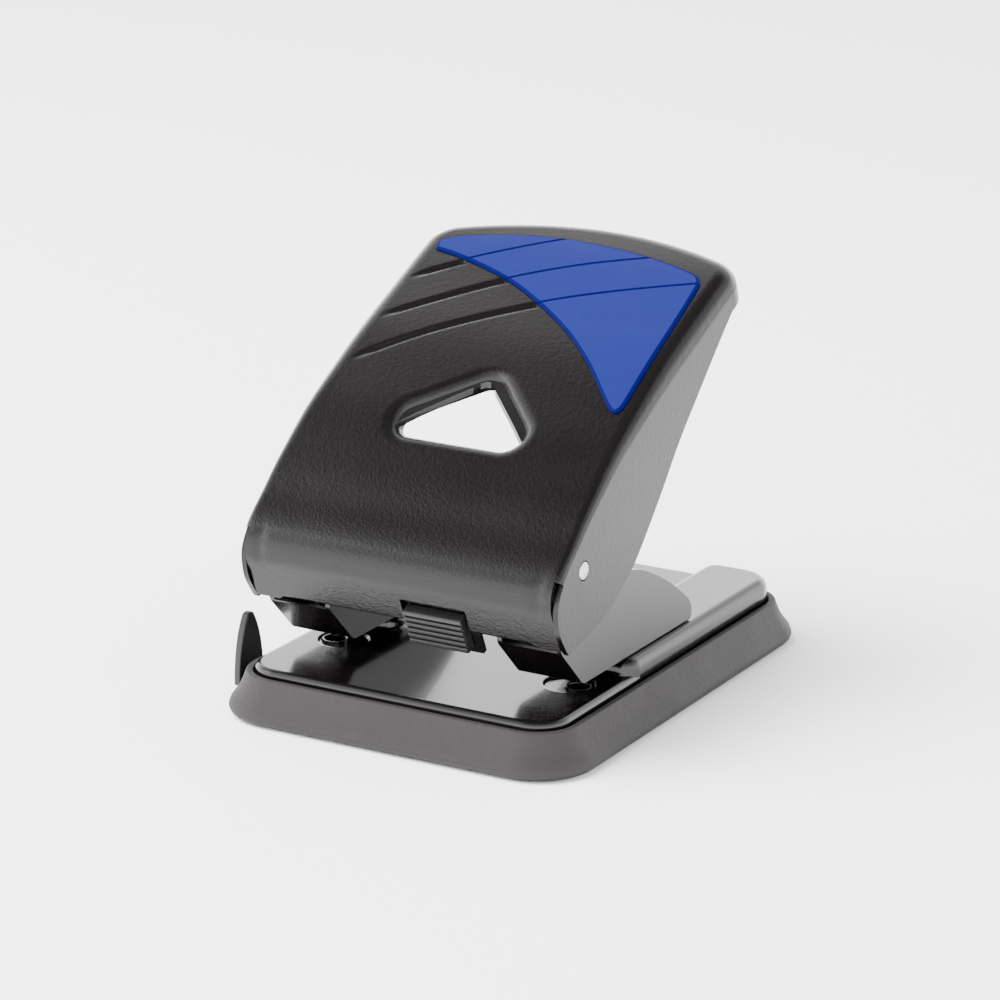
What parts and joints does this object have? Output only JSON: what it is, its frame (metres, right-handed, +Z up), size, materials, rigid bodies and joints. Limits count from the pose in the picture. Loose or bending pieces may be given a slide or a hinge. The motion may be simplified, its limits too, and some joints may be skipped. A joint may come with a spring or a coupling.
{
  "type": "hole punch",
  "caption": "Desktop hole punch with a sloping steel handle over punch pins, a pressed base in a plastic chip tray, a sliding paper guide and a sliding lock.",
  "frame": {"origin": "centre of the chip tray's underside, on the surface that the punch stands on", "axes": "+Z up, -Y towards the front edge where the paper goes in, +X to the right seen from the front"},
  "size_m": [0.1191, 0.153, 0.1232],
  "materials": {
    "handle_paint": "satin black paint with a fine orange peel",
    "base_paint": "gloss black paint",
    "bright_steel": "bright plated steel",
    "tray_plastic": "fine textured dark grey",
    "dark_plastic": "satin black",
    "blue_grip": "soft-touch blue"
  },
  "bodies": {
    "base": {"base_plate": "base_paint", "die_left": "base_paint", "bracket_left": "base_paint", "pin_guide_left": "bright_steel", "axle_washer_left": "bright_steel", "return_spring_left": "bright_steel", "die_right": "base_paint", "bracket_right": "base_paint", "pin_guide_right": "bright_steel", "axle_washer_right": "bright_steel", "return_spring_right": "bright_steel", "bracket_rivet_left_1": "base_paint", "bracket_rivet_left_2": "base_paint", "bracket_rivet_right_1": "base_paint", "bracket_rivet_right_2": "base_paint", "pivot_axle": "bright_steel"},
    "tray": {"chip_tray": "tray_plastic"},
    "paper_guide": {"guide_rail": "dark_plastic", "guide_fin": "dark_plastic"},
    "handle": {"handle_shell": "handle_paint", "grip_inlay": "blue_grip", "press_channel": "base_paint", "press_rod": "bright_steel", "rod_clip_left": "bright_steel", "rod_clip_right": "bright_steel", "lock_carrier": "base_paint"},
    "pin_left": {"punch_pin_left": "bright_steel", "pin_clip_left": "bright_steel"},
    "pin_right": {"punch_pin_right": "bright_steel", "pin_clip_right": "bright_steel"},
    "lock": {"lock_button": "dark_plastic", "lock_plate": "dark_plastic"}
  },
  "joints": [
    {"name": "handle_hinge", "type": "hinge", "parent": "base", "child": "handle", "pos_m": [0, -0.0525, 0.055], "axis": [-1, 0, 0], "range_deg": [0, 27], "stiffness_Nm_per_rad": 1, "springref_deg": -34.38},
    {"name": "pin_left_slide", "type": "slide", "parent": "base", "child": "pin_left", "axis": [0, 0, -1], "range_m": [0, 0.0082], "deforming": ["return_spring_left"]},
    {"name": "pin_right_slide", "type": "slide", "parent": "base", "child": "pin_right", "axis": [0, 0, -1], "range_m": [0, 0.0082], "deforming": ["return_spring_right"]},
    {"name": "lock_slide", "type": "slide", "parent": "handle", "child": "lock", "axis": [0, 0.4035, -0.915], "range_m": [0, 0.005]},
    {"name": "tray_release", "type": "slide", "parent": "base", "child": "tray", "axis": [0, 0, -1], "range_m": [0, 0.012]},
    {"name": "paper_guide_slide", "type": "slide", "parent": "tray", "child": "paper_guide", "axis": [-1, 0, 0], "range_m": [0, 0.087]}
  ],
  "couplings": [
    {"joint": "pin_left_slide", "follows": "handle_hinge", "m_per_rad": 0.01724},
    {"joint": "pin_right_slide", "follows": "handle_hinge", "m_per_rad": 0.01724}
  ]
}
